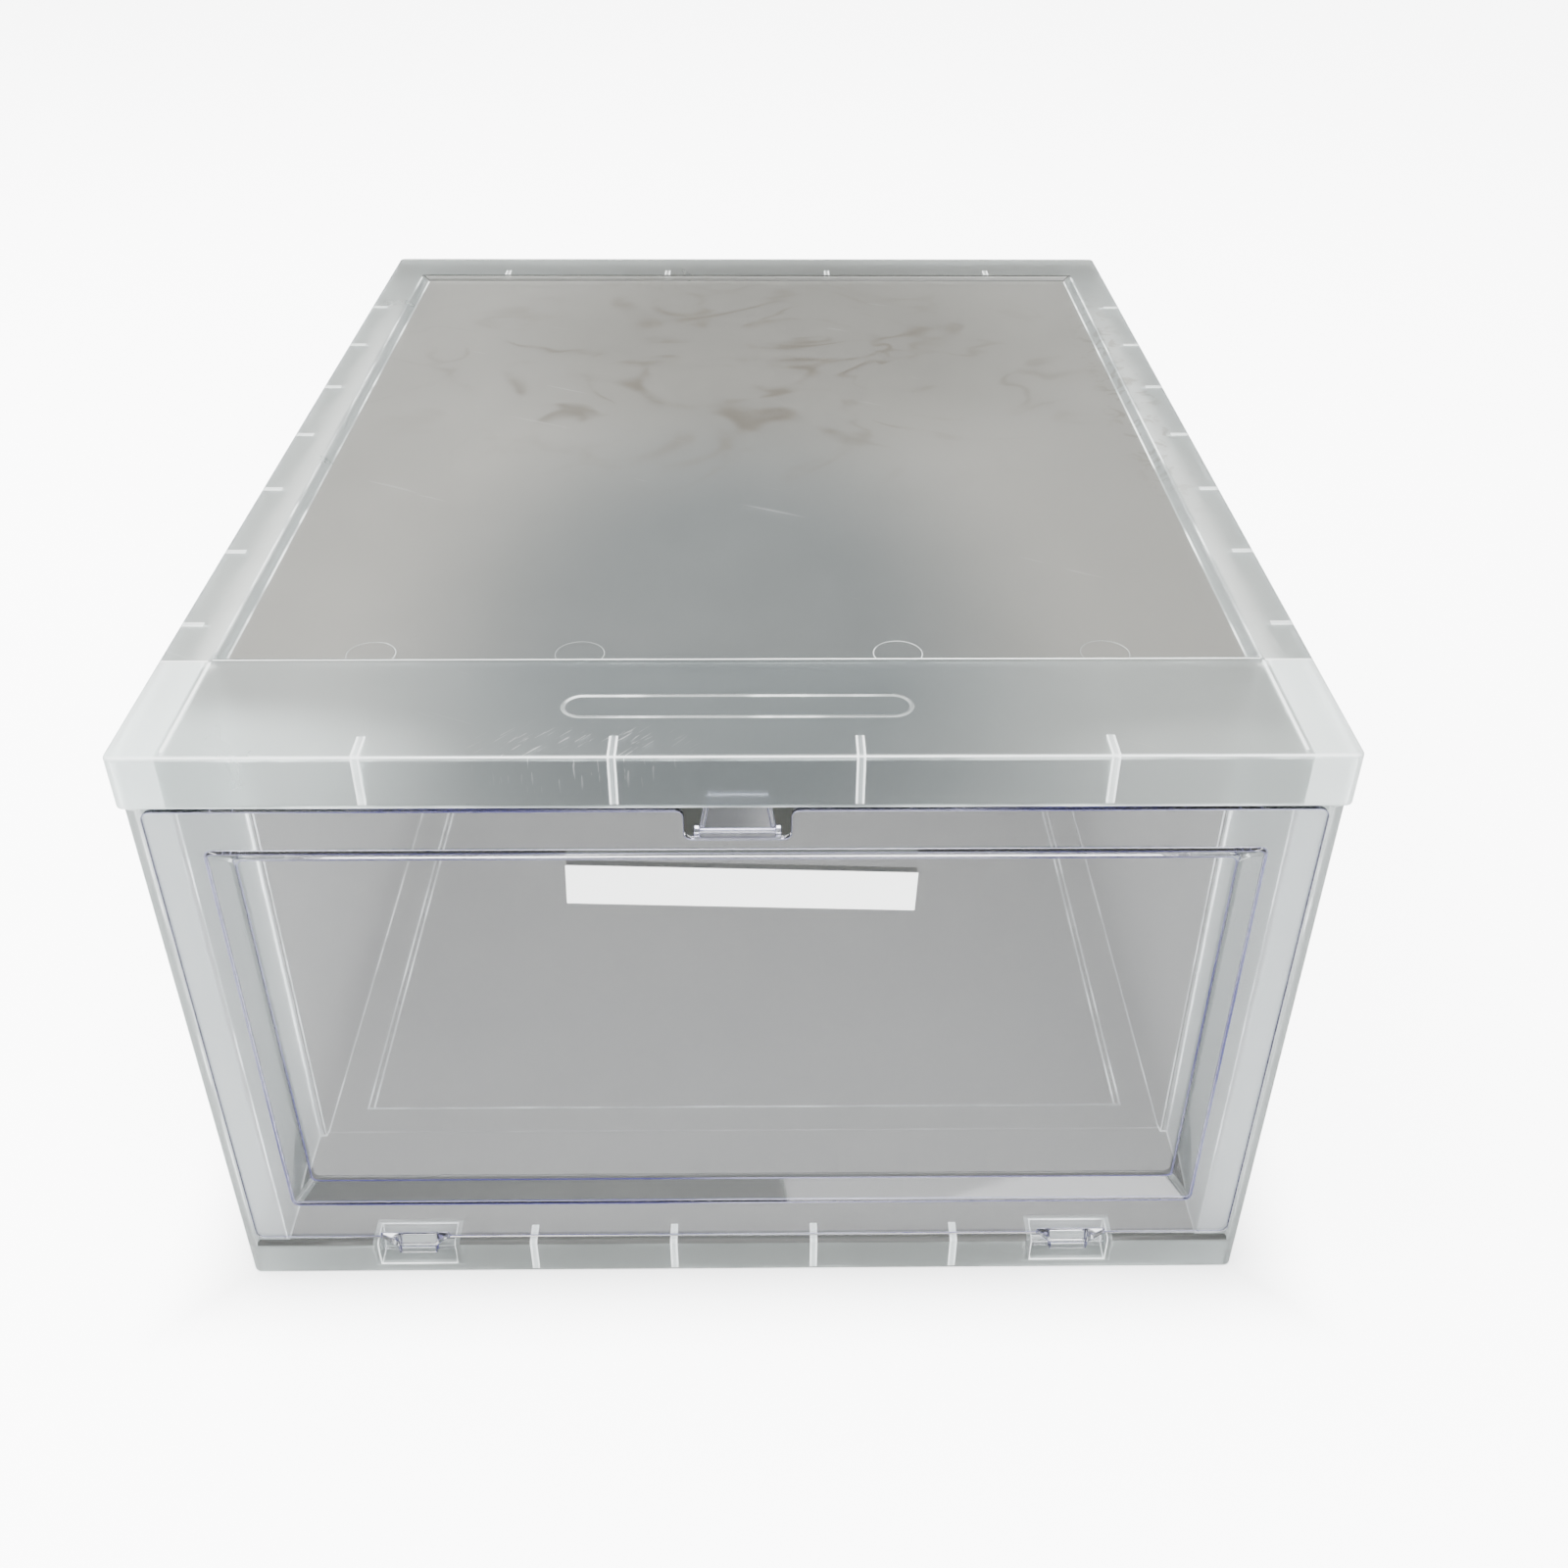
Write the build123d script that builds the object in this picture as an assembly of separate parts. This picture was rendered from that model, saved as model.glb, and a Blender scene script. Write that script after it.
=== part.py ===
from build123d import *
import os

# A drop-front shoe box: an open-front tray and walls (base), a press-fit lid whose skirt
# laps over the base, and a clear front door that hinges on two lugs at its lower edge and
# is held shut by a springy latch tongue behind the lid's front band.
# Millimetres. X is the width, the door faces -Y, Z is up. The origin is the middle of the
# footprint at the surface that the box stands on. "Depth" values below are measured
# backwards from the front face of the lid.

# ---------------------------------------------------------------- overall sizes
WIDTH = 279.0            # across the lid's skirt
DEPTH = 359.0            # from the lid's front face to its back face
HEIGHT = 175.0           # to the top of the lid's rims
LIP_PROUD = 1.4          # how far the latch lip stands in front of the lid's front face

# ---------------------------------------------------------------- moulding
WALL = 1.5               # general wall of the base
LID_WALL = 1.3           # wall of the lid's skirt
LID_SHEET = 1.5          # wall of the lid's top
LAP_GAP = 0.2            # between the lid's skirt and the base inside it
SEAT_GAP = 0.1           # between the lid's sheet and the tops of the base's walls
GUSSET_WALL = 1.0        # thickness of every small stiffening fin
EDGE_SOFT = 0.6          # rounding of small outside edges
OVER = 1.0               # how far a cut runs past the face it opens

# ---------------------------------------------------------------- lid
SKIRT_DEPTH = 14.0       # height of the lid's outer band
STRIP = 42.5             # depth of the front strip, on the lid and on the floor
RIM_SIDE = 12.8          # width of the side rims
RIM_BACK = 21.5          # width of the back rim
PANEL_DROP = 2.0         # the panel lies this much below the rims
SIDE_RUN = 2.3           # width of the sloping wall beside the panel
END_RUN = 0.8            # width of the steeper wall at its front and back
LID_CORNER = 2.0         # vertical corner radius of the skirt
LID_EDGE = 1.0           # rounding of the lid's top edge
PILL_LENGTH = 81.0       # bare raised outline on the front strip
PILL_WIDTH = 9.6
PILL_AT = 20.8           # depth of its centre
PILL_LINE = 0.5
PILL_RISE = 0.3
PILL_ROOT = 0.2          # the outline starts this far inside the sheet
LIP_WALL = 1.2           # locating lip under the lid, outside the base's walls
LIP_DEPTH = 5.0
LIP_GAP = 0.3

# ---------------------------------------------------------------- stiffening fins
HEADER_FINS = (27.6, 84.0)       # half-width places behind the lid's front band
HEADER_FIN_RUN = 8.3
SILL_FINS = (19.5, 58.5)         # half-width places behind the base's front skirt
SILL_FIN_RUN = 7.0
BACK_FINS = (31.3, 93.9)         # half-width places behind the panel, under the back rim
BACK_FIN_RUN = 6.0
SIDE_FIN_FIRST = 59.4            # depth of the first one along each side
SIDE_FIN_PITCH = 40.0
SIDE_FIN_RUN = 6.0
FIN_CLEAR = 1.0                  # fins stop this far from a skirt's free edge

# ---------------------------------------------------------------- base
FACE = 0.3               # depth of the door's front and of the base's front
SILL_TOP = 12.0          # top of the front sill, which the floor strip carries back
FLOOR_STEP = 0.8         # the floor behind the strip is this much lower
FLOOR_DROP = 1.3         # the floor's middle is this much lower again
FLOOR_BORDER = 10.0      # width of the floor's border
BASE_CORNER = 2.2        # vertical corner radius of the base
SILL_ROUND = 1.2
POST_WIDTH = 11.5        # each front post, from the base's outside to the door opening
WALL_SET_OUT = 0.1       # the side walls' inner faces stand this far outside the lid's panel
POST_LIP = 3.0           # width of the lip at each side of the door

# ---------------------------------------------------------------- door
DOOR_WALL = 1.6
DOOR_SIDE_GAP = 0.4      # between the door's edge and the post's lip
DOOR_BOTTOM_GAP = 2.2    # between the sill and the door's lower edge
DOOR_TOP_GAP = 1.1       # between the door's top edge and the lid's skirt
DOOR_REST = 0.3          # between the door's back and the posts' rebate
DOOR_CORNER = 2.4
FLANGE = 12.5            # flat border beside the recessed panel
FLANGE_BOTTOM = 13.8
FLANGE_TOP = 12.0
RECESS = 4.4             # how far the panel stands back
BEVEL = 4.9              # width of the bevel around the panel
BEVEL_BACK = 1.2         # the bevel's back starts this far outside its front
BEVEL_CORNER = 1.8       # corner radius of the bevel's outer and inner edges
NOTCH_WIDTH = 24.4       # finger notch in the door's top edge
NOTCH_DEPTH = 8.0
NOTCH_ROUND = 1.8

# ---------------------------------------------------------------- hinge
HINGE_X = 91.0           # half-width place of each lug
HINGE_BEHIND = 1.1       # the axis lies this far behind the door's flat border
HINGE_BELOW = 3.8        # and this far below the sill's top
LUG_TOP = 18.5           # width of a lug at the door's edge
LUG_BOTTOM = 10.4        # width of a lug at the axis
BARREL_R = 2.3
LUG_ROOT = 1.0           # a lug starts this far above the door's lower edge
LUG_THICKEN = 0.6        # and is this much thicker there than the door
PIN_R = 1.4
PIN_GAP = 0.08           # running clearance of the pin in its hole
PIN_END_GAP = 0.3        # how far the pin stops inside the cheek's outer face
POCKET_WIDTH = 21.0
POCKET_BACK = 8.0        # depth of the pocket's back wall
POCKET_BOTTOM = 3.5

# ---------------------------------------------------------------- latch tongue
LIP_WIDTH = 19.8
LIP_RISE = 3.1           # top of the lip above the floor of the notch
LIP_HEIGHT = 2.1
TONGUE_WALL = 1.3
TONGUE_WIDTH = 17.4      # at the lip
TONGUE_TIP_WIDTH = 13.4
TONGUE_ROOT_GAP = 0.3    # between the tongue's root and the floor of the notch
TONGUE_REACH = 5.2       # depth of the catch's back edge
CATCH_RISE = 1.0         # the catch stands this much above the skirt's lower edge
CATCH_WALL = 1.2
CATCH_DEPTH = 2.6        # height of the catch's back face
CATCH_STEP = 0.6         # how far the blade meets the catch above its foot
BLADE_FOOT = 1.0         # the blade's back starts this far above the lip's underside
LIP_ROUND = 0.4          # rounding of the lip's long edges
RIB_WALL = 0.9
RIB_RISE = 0.8

# ---------------------------------------------------------------- label
LABEL_WIDTH = 83.0
LABEL_HEIGHT = 11.4
LABEL_WALL = 0.2
LABEL_DROP = 8.7         # its middle below the panel's upper edge
LABEL_X = 0.7
LABEL_TURN = 1.8         # degrees, its right end hangs lower

# ---------------------------------------------------------------- worked out from the sizes
FRONT_Y = -(DEPTH - LIP_PROUD) / 2
SKIRT_Z = HEIGHT - SKIRT_DEPTH
PANEL_TOP = HEIGHT - PANEL_DROP
WALL_TOP = PANEL_TOP - LID_SHEET - SEAT_GAP
BASE_HALF = WIDTH / 2 - LID_WALL - LAP_GAP
BASE_BACK = DEPTH - LID_WALL - LAP_GAP
LAP_FRONT = LID_WALL + LAP_GAP
LEDGE_TOP = SILL_TOP - FLOOR_STEP
REAR = DEPTH - RIM_BACK
CAVITY_HALF = WIDTH / 2 - RIM_SIDE - SIDE_RUN + WALL_SET_OUT
OPENING_HALF = BASE_HALF - POST_WIDTH
DOOR_HALF = BASE_HALF - POST_LIP - DOOR_SIDE_GAP
DOOR_TOP = SKIRT_Z - DOOR_TOP_GAP
DOOR_BOTTOM = SILL_TOP + DOOR_BOTTOM_GAP
DOOR_BACK = FACE + DOOR_WALL
REBATE = DOOR_BACK + DOOR_REST
PANEL_FACE = FACE + RECESS
NOTCH_FLOOR = DOOR_TOP - NOTCH_DEPTH
LIP_TOP = NOTCH_FLOOR + LIP_RISE
HINGE_DEPTH = DOOR_BACK + HINGE_BEHIND
HINGE_Z = SILL_TOP - HINGE_BELOW
LABEL_Z = DOOR_TOP - FLANGE_TOP - BEVEL - LABEL_DROP


def at(depth):
    """Y of a place given as a depth behind the lid's front face."""
    return FRONT_Y + depth


def block(x0, x1, d0, d1, z0, z1):
    """A box between two X, two depths and two heights."""
    middle = Pos((x0 + x1) / 2, at((d0 + d1) / 2), (z0 + z1) / 2)
    return middle * Box(abs(x1 - x0), abs(d1 - d0), abs(z1 - z0))


def footprint(half, d0, d1, radius, z0, z1):
    """A block with rounded upright corners."""
    plan = Plane((0, at((d0 + d1) / 2), z0)) * RectangleRounded(2 * half, d1 - d0, radius)
    return extrude(plan, z1 - z0)


def top_edges(solid, z):
    """The edges of a solid that lie in the level z."""
    return [e for e in solid.edges() if abs(e.center().Z - z) < 1e-3 and e.bounding_box().size.Z < 1e-3]


def funnel(top, bottom, z_top, z_bottom):
    """A tapered block between two rectangles, each (half width, depth 0, depth 1)."""
    faces = []
    for (half, d0, d1), z in ((top, z_top), (bottom, z_bottom)):
        plane = Plane((0, at((d0 + d1) / 2), z))
        faces.append(plane * Rectangle(2 * half, d1 - d0))
    return loft([f.face() for f in faces], ruled=True)


def side_prism(outline, x0, x1):
    """An outline of (depth, height) points, drawn out along X."""
    points = [Vector(x0, at(d), z) for d, z in outline]
    face = make_face(Polyline(*points, close=True))
    return extrude(face, x1 - x0, dir=(1, 0, 0))


def front_prism(outline, d0, d1):
    """An outline of (x, height) points, drawn out backwards."""
    points = [Vector(x, at(d0), z) for x, z in outline]
    face = make_face(Polyline(*points, close=True))
    return extrude(face, d1 - d0, dir=(0, 1, 0))


def side_fin_depths():
    """Depths of the fins along each side, between the front strip and the back rim."""
    count = int((REAR - SIDE_FIN_FIRST) // SIDE_FIN_PITCH) + 1
    return [SIDE_FIN_FIRST + SIDE_FIN_PITCH * i for i in range(count)]


def fins(half, front, z_root, z_tip, front_places, front_run):
    """Three-cornered fins inside a skirt: full at the sheet (z_root), gone at z_tip."""
    made = []
    for x in front_places:
        for side in (-1, 1):
            x0 = side * x - GUSSET_WALL / 2
            outline = [(front, z_root), (front + front_run, z_root), (front, z_tip)]
            made.append(side_prism(outline, x0, x0 + GUSSET_WALL))
    for depth in side_fin_depths():
        for side in (-1, 1):
            d0 = depth - GUSSET_WALL / 2
            x0, x1 = side * half, side * (half - SIDE_FIN_RUN)
            outline = [(x0, z_root), (x1, z_root), (x0, z_tip)]
            made.append(front_prism(outline, d0, d0 + GUSSET_WALL))
    return made


# ---------------------------------------------------------------- lid
def lid_shell():
    """The lid's outside, hollowed from below."""
    half = WIDTH / 2
    outer = footprint(half, 0, DEPTH, LID_CORNER, SKIRT_Z, HEIGHT)
    outer = fillet(top_edges(outer, HEIGHT), LID_EDGE)
    inner = footprint(half - LID_WALL, LID_WALL, DEPTH - LID_WALL,
                      LID_CORNER - LID_WALL, SKIRT_Z - OVER, HEIGHT - LID_SHEET)
    return outer - inner


def lid_recess(shell):
    """The panel sunk between the rims and behind the front strip."""
    rim_in = WIDTH / 2 - RIM_SIDE
    top = (rim_in, STRIP, REAR)
    foot = (rim_in - SIDE_RUN, STRIP + END_RUN, REAR - END_RUN)
    below_top = (rim_in + LID_SHEET, STRIP - LID_SHEET, REAR + LID_SHEET)
    below_foot = (foot[0] + LID_SHEET / 2, foot[1] - LID_SHEET / 2, foot[2] + LID_SHEET / 2)
    dish = funnel(below_top, below_foot, HEIGHT - LID_SHEET / 2, PANEL_TOP - LID_SHEET)
    space = funnel(top, foot, HEIGHT, PANEL_TOP)
    return shell + dish - space


def lid_back_fins():
    """Small fins behind the panel's rear wall, under the back rim."""
    made = []
    sheet = HEIGHT - LID_SHEET
    for x in BACK_FINS:
        for side in (-1, 1):
            x0 = side * x - GUSSET_WALL / 2
            outline = [(REAR, sheet), (REAR + BACK_FIN_RUN, sheet), (REAR, PANEL_TOP - LID_SHEET / 2)]
            made.append(side_prism(outline, x0, x0 + GUSSET_WALL))
    return made


def lid_locating_lip():
    """The lips under the lid that stand outside the base's side walls."""
    inner = CAVITY_HALF + WALL + LIP_GAP
    z0 = WALL_TOP - LIP_DEPTH
    z1 = HEIGHT - LID_SHEET / 2
    clear = 2 * WALL
    made = []
    for side in (-1, 1):
        x0, x1 = side * inner, side * (inner + LIP_WALL)
        made.append(block(x0, x1, STRIP + clear, REAR - clear, z0, z1))
    return made


def lid_pill():
    """The bare raised outline on the front strip."""
    plane = Plane((0, at(PILL_AT), HEIGHT - PILL_ROOT))
    ring = SlotOverall(PILL_LENGTH, PILL_WIDTH)
    ring -= SlotOverall(PILL_LENGTH - 2 * PILL_LINE, PILL_WIDTH - 2 * PILL_LINE)
    return extrude(plane * ring, PILL_RISE + PILL_ROOT)


def make_lid():
    """The whole lid."""
    lid = lid_recess(lid_shell() + lid_locating_lip())
    lid += fins(WIDTH / 2 - LID_WALL, LID_WALL, HEIGHT - LID_SHEET, SKIRT_Z + FIN_CLEAR,
                HEADER_FINS, HEADER_FIN_RUN)
    lid += lid_back_fins()
    return lid + lid_pill()


# ---------------------------------------------------------------- base
def base_tray():
    """The floor, its skirt and the sill: a shallow tray turned over."""
    front_low = LEDGE_TOP - WALL
    outer = footprint(BASE_HALF, FACE, BASE_BACK, BASE_CORNER, 0, LEDGE_TOP)
    step = footprint(BASE_HALF, FACE, BASE_BACK, BASE_CORNER, 0, SILL_TOP)
    step &= block(-BASE_HALF, BASE_HALF, FACE, STRIP, 0, SILL_TOP)
    hollow = footprint(BASE_HALF - WALL, FACE + WALL, BASE_BACK - WALL,
                       BASE_CORNER - WALL, -OVER, front_low)
    foot = [e for e in outer.edges() if abs(e.center().Z) < 1e-3]
    outer = fillet(foot, EDGE_SOFT)
    front = [e for e in step.edges() if abs(e.center().Z - SILL_TOP) < 1e-3
             and e.center().Y < at(BASE_CORNER)]
    step = fillet(front, SILL_ROUND)
    step &= block(-BASE_HALF, BASE_HALF, FACE, STRIP, front_low, SILL_TOP)
    return outer + step - hollow


def floor_dish(tray):
    """The floor's middle, a little lower than its border."""
    half = CAVITY_HALF - FLOOR_BORDER
    d0, d1 = STRIP + FLOOR_BORDER, BASE_BACK - WALL - FLOOR_BORDER
    run = FLOOR_DROP
    low = LEDGE_TOP - FLOOR_DROP
    space = funnel((half, d0, d1), (half - run, d0 + run, d1 - run), LEDGE_TOP, low)
    dish = funnel((half + WALL, d0 - WALL, d1 + WALL), (half, d0, d1), LEDGE_TOP - WALL / 2, low - WALL)
    return tray + dish - space


def base_walls():
    """The side walls, and the rear frame: the back wall and the flanks beside it."""
    inner = CAVITY_HALF
    z0 = LEDGE_TOP - WALL / 2
    made = []
    for side in (-1, 1):
        x0, x1 = side * inner, side * (inner + WALL)
        made.append(block(x0, x1, STRIP - WALL, BASE_BACK - WALL / 2, z0, WALL_TOP))
        made.append(frame_web(side, REAR, REAR + WALL, z0))
    ring = footprint(BASE_HALF, FACE, BASE_BACK, BASE_CORNER, z0, WALL_TOP)
    ring -= footprint(BASE_HALF - WALL, FACE + WALL, BASE_BACK - WALL, BASE_CORNER - WALL,
                      z0 - OVER, WALL_TOP + OVER)
    made.append(ring & block(-BASE_HALF, BASE_HALF, REAR, BASE_BACK, z0, WALL_TOP))
    return made


def frame_web(side, d0, d1, z0):
    """The wall that closes a post on its side wall's side. It reaches up inside the lid's rim."""
    rim_in = WIDTH / 2 - RIM_SIDE + 2 * LID_SHEET
    outer = BASE_HALF - WALL / 2
    low = block(side * CAVITY_HALF, side * outer, d0, d1, z0, WALL_TOP)
    high = block(side * rim_in, side * outer, d0, d1, WALL_TOP - WALL, HEIGHT - LID_SHEET - SEAT_GAP)
    return low + high


def base_post(side):
    """One front post: a hollow channel with a rebate for the door's edge."""
    inner = OPENING_HALF
    z0 = SILL_TOP - WALL / 2
    face_end = BASE_HALF - POST_LIP + WALL / 2
    cheek = block(side * inner, side * (inner + WALL), REBATE, STRIP, z0, WALL_TOP)
    face = block(side * inner, side * face_end, REBATE, REBATE + WALL, z0, WALL_TOP)
    web = frame_web(side, STRIP - WALL, STRIP, z0)
    flank_in, flank_out = side * (BASE_HALF - WALL), side * BASE_HALF
    flank = block(flank_in, flank_out, LAP_FRONT + BASE_CORNER, STRIP, z0, WALL_TOP)
    edge = post_edge(side, FACE, SKIRT_Z - LAP_GAP)
    neck = post_edge(side, LAP_FRONT, WALL_TOP)
    return [cheek, face, web, flank, edge, neck]


def post_edge(side, front, z1):
    """The solid lip beside the door. Its upper end is drawn in under the lid's skirt."""
    lip = BASE_HALF - POST_LIP
    z0 = SILL_TOP - WALL / 2
    column = footprint(BASE_HALF, front, BASE_BACK, BASE_CORNER, z0, z1)
    x0, x1 = side * lip, side * (BASE_HALF + OVER)
    return column & block(x0, x1, -OVER, LAP_FRONT + BASE_CORNER, z0, z1)


def hinge_pocket(side):
    """The block that holds a lug's pin, and the space cut from it."""
    x = side * HINGE_X
    half = POCKET_WIDTH / 2
    body = block(x - half - WALL, x + half + WALL, FACE + WALL / 2, POCKET_BACK + WALL,
                 POCKET_BOTTOM - WALL, SILL_TOP - WALL / 2)
    space = block(x - half, x + half, FACE - OVER, POCKET_BACK, POCKET_BOTTOM, SILL_TOP + OVER)
    hole_length = POCKET_WIDTH + 2 * WALL + OVER
    hole = Pos(x, at(HINGE_DEPTH), HINGE_Z) * Rot(0, 90, 0) * Cylinder(PIN_R + PIN_GAP, hole_length)
    return body, space + hole


def make_base():
    """The whole base."""
    base = floor_dish(base_tray())
    base += base_walls()
    for side in (-1, 1):
        base += base_post(side)
    base += fins(BASE_HALF - WALL, FACE + WALL, LEDGE_TOP - WALL, FIN_CLEAR,
                 SILL_FINS, SILL_FIN_RUN)
    for side in (-1, 1):
        body, space = hinge_pocket(side)
        base = base + body - space
    return base


# ---------------------------------------------------------------- door
def panel_limits():
    """The recessed panel's outer rectangle: half width, lower and upper height."""
    return DOOR_HALF - FLANGE, DOOR_BOTTOM + FLANGE_BOTTOM, DOOR_TOP - FLANGE_TOP


def pressed(half, z0, z1, depth0, depth1, shrink):
    """A tapered block pressed backwards from one rectangle to a smaller one."""
    faces = []
    for depth, less in ((depth0, 0), (depth1, shrink)):
        plane = Plane((0, at(depth), (z0 + z1) / 2), x_dir=(1, 0, 0), z_dir=(0, 1, 0))
        faces.append(plane * RectangleRounded(2 * (half - less), z1 - z0 - 2 * less, BEVEL_CORNER))
    return loft([f.face() for f in faces], ruled=True)


def door_plate():
    """The door's flat border with its pressed panel."""
    tall = DOOR_TOP - DOOR_BOTTOM
    plane = Plane((0, at(FACE), DOOR_BOTTOM + tall / 2), x_dir=(1, 0, 0), z_dir=(0, 1, 0))
    plate = extrude(plane * RectangleRounded(2 * DOOR_HALF, tall, DOOR_CORNER), DOOR_WALL)
    half, z0, z1 = panel_limits()
    back = PANEL_FACE + DOOR_WALL
    out = BEVEL_BACK
    tray = pressed(half + out, z0 - out, z1 + out, FACE + DOOR_WALL / 2, back, BEVEL)
    space = pressed(half, z0, z1, FACE, PANEL_FACE, BEVEL)
    return plate + tray - space


def door_notch():
    """The finger notch in the door's top edge, with rounded corners."""
    half = NOTCH_WIDTH / 2
    tall = DOOR_TOP - NOTCH_FLOOR
    plane = Plane((0, at(FACE - OVER), NOTCH_FLOOR + tall), x_dir=(1, 0, 0), z_dir=(0, 1, 0))
    notch = extrude(plane * RectangleRounded(NOTCH_WIDTH, 2 * tall, NOTCH_ROUND), DOOR_WALL + 2 * OVER)
    for side in (-1, 1):
        x0, x1 = side * half, side * (half + NOTCH_ROUND)
        corner = block(x0, x1, FACE - OVER, DOOR_BACK + OVER, DOOR_TOP - NOTCH_ROUND, DOOR_TOP + OVER)
        round_off = Pos(x1, at(FACE + DOOR_WALL / 2), DOOR_TOP - NOTCH_ROUND)
        round_off *= Rot(90, 0, 0) * Cylinder(NOTCH_ROUND, DOOR_WALL + 4 * OVER)
        notch += corner - round_off
    return notch


def hinge_lug(side):
    """One lug with its pin, from the door's lower edge down to the axis."""
    x = side * HINGE_X
    low = HINGE_Z - BARREL_R - OVER
    root = DOOR_BOTTOM + LUG_ROOT
    outline = [(FACE, root), (FACE, HINGE_Z + BARREL_R), (HINGE_DEPTH, HINGE_Z),
               (HINGE_DEPTH + BARREL_R, HINGE_Z), (DOOR_BACK + LUG_THICKEN, root)]
    web = side_prism(outline, x - LUG_TOP / 2, x + LUG_TOP / 2)
    barrel = Pos(x, at(HINGE_DEPTH), HINGE_Z) * Rot(0, 90, 0) * Cylinder(BARREL_R, LUG_TOP)
    taper = [(x - LUG_TOP / 2, root + OVER), (x - LUG_TOP / 2, DOOR_BOTTOM),
             (x - LUG_BOTTOM / 2, HINGE_Z + BARREL_R), (x - LUG_BOTTOM / 2, low),
             (x + LUG_BOTTOM / 2, low), (x + LUG_BOTTOM / 2, HINGE_Z + BARREL_R),
             (x + LUG_TOP / 2, DOOR_BOTTOM), (x + LUG_TOP / 2, root + OVER)]
    lug = (web + barrel) & front_prism(taper, -OVER, POCKET_BACK)
    pin_length = POCKET_WIDTH + 2 * (WALL - PIN_END_GAP)
    pin = Pos(x, at(HINGE_DEPTH), HINGE_Z) * Rot(0, 90, 0) * Cylinder(PIN_R, pin_length)
    return lug + pin


def make_door():
    """The clear door with its two hinge lugs."""
    door = door_plate() - door_notch()
    for side in (-1, 1):
        door += hinge_lug(side)
    return door


# ---------------------------------------------------------------- latch tongue
def tongue_outline(rise):
    """Side view of the tongue's leaning blade, thickened upwards by rise."""
    root = NOTCH_FLOOR + TONGUE_ROOT_GAP
    catch_top = SKIRT_Z + CATCH_RISE
    catch_front = TONGUE_REACH - CATCH_WALL
    under = catch_top - CATCH_DEPTH
    back = FACE + TONGUE_WALL
    return [(FACE, root), (back, root), (back, LIP_TOP - LIP_HEIGHT + BLADE_FOOT),
            (TONGUE_REACH, under), (TONGUE_REACH, catch_top), (catch_front, catch_top),
            (catch_front, under + CATCH_STEP + rise / 2), (FACE, LIP_TOP + rise)]


def tongue_taper(inset):
    """The tongue's outline from the front, narrowing upwards."""
    root = NOTCH_FLOOR + TONGUE_ROOT_GAP
    wide = TONGUE_WIDTH / 2 - inset
    slim = TONGUE_TIP_WIDTH / 2 - inset
    high = SKIRT_Z + CATCH_RISE + OVER
    outline = [(-wide, root), (wide, root), (wide, LIP_TOP), (slim, high), (-slim, high), (-wide, LIP_TOP)]
    return front_prism(outline, FACE - OVER, TONGUE_REACH + OVER)


def make_tongue():
    """The springy latch tongue: thumb lip, leaning blade, side ribs and catch."""
    half = TONGUE_WIDTH / 2
    blade = side_prism(tongue_outline(0), -half, half) & tongue_taper(0)
    ribbed = side_prism(tongue_outline(RIB_RISE), -half, half) & tongue_taper(0)
    ribs = ribbed - tongue_taper(RIB_WALL)
    wide = LIP_WIDTH / 2
    lip = block(-wide, wide, -LIP_PROUD, FACE + TONGUE_WALL, LIP_TOP - LIP_HEIGHT, LIP_TOP)
    long_edges = [e for e in lip.edges().filter_by(Axis.X) if e.center().Y < at(0)]
    lip = fillet(long_edges, LIP_ROUND)
    return blade + ribs + lip


# ---------------------------------------------------------------- label
def make_label():
    """The blank paper label on the door's panel."""
    sheet = Box(LABEL_WIDTH, LABEL_WALL, LABEL_HEIGHT)
    return Pos(LABEL_X, at(PANEL_FACE - LABEL_WALL / 2), LABEL_Z) * Rot(0, LABEL_TURN, 0) * sheet


NODES = {
    "base": make_base,
    "lid": make_lid,
    "door": make_door,
    "latch_tongue": make_tongue,
    "label": make_label,
}


def main():
    """Write one STEP file for each piece."""
    os.makedirs("parts", exist_ok=True)
    for name, make in NODES.items():
        export_step(make(), f"parts/{name}.step")


main()
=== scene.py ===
import math

import bmesh
import bpy
from mathutils import Matrix, Vector


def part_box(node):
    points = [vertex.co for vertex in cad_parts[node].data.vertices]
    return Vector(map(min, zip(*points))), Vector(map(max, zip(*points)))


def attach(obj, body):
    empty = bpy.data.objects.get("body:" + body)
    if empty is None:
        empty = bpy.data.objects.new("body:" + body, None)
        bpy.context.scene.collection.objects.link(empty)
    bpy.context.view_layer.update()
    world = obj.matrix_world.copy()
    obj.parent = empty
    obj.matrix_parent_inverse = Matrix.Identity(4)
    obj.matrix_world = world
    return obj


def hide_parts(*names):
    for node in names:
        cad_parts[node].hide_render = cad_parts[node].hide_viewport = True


# A drop-front shoe box: frosted tray, walls and lid, a clear door with its springy latch
# tongue, and a blank paper label. Metres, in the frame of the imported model.

bl_info = {
    "name": "Drop-front shoe box",
    "version": (1, 0, 0),
    "blender": (4, 5, 0),
    "location": "View3D > Sidebar > Shoe Box",
    "description": "Builds the frosted shoe box, its clear door and its label around the frame",
    "category": "Add Mesh",
}

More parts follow.
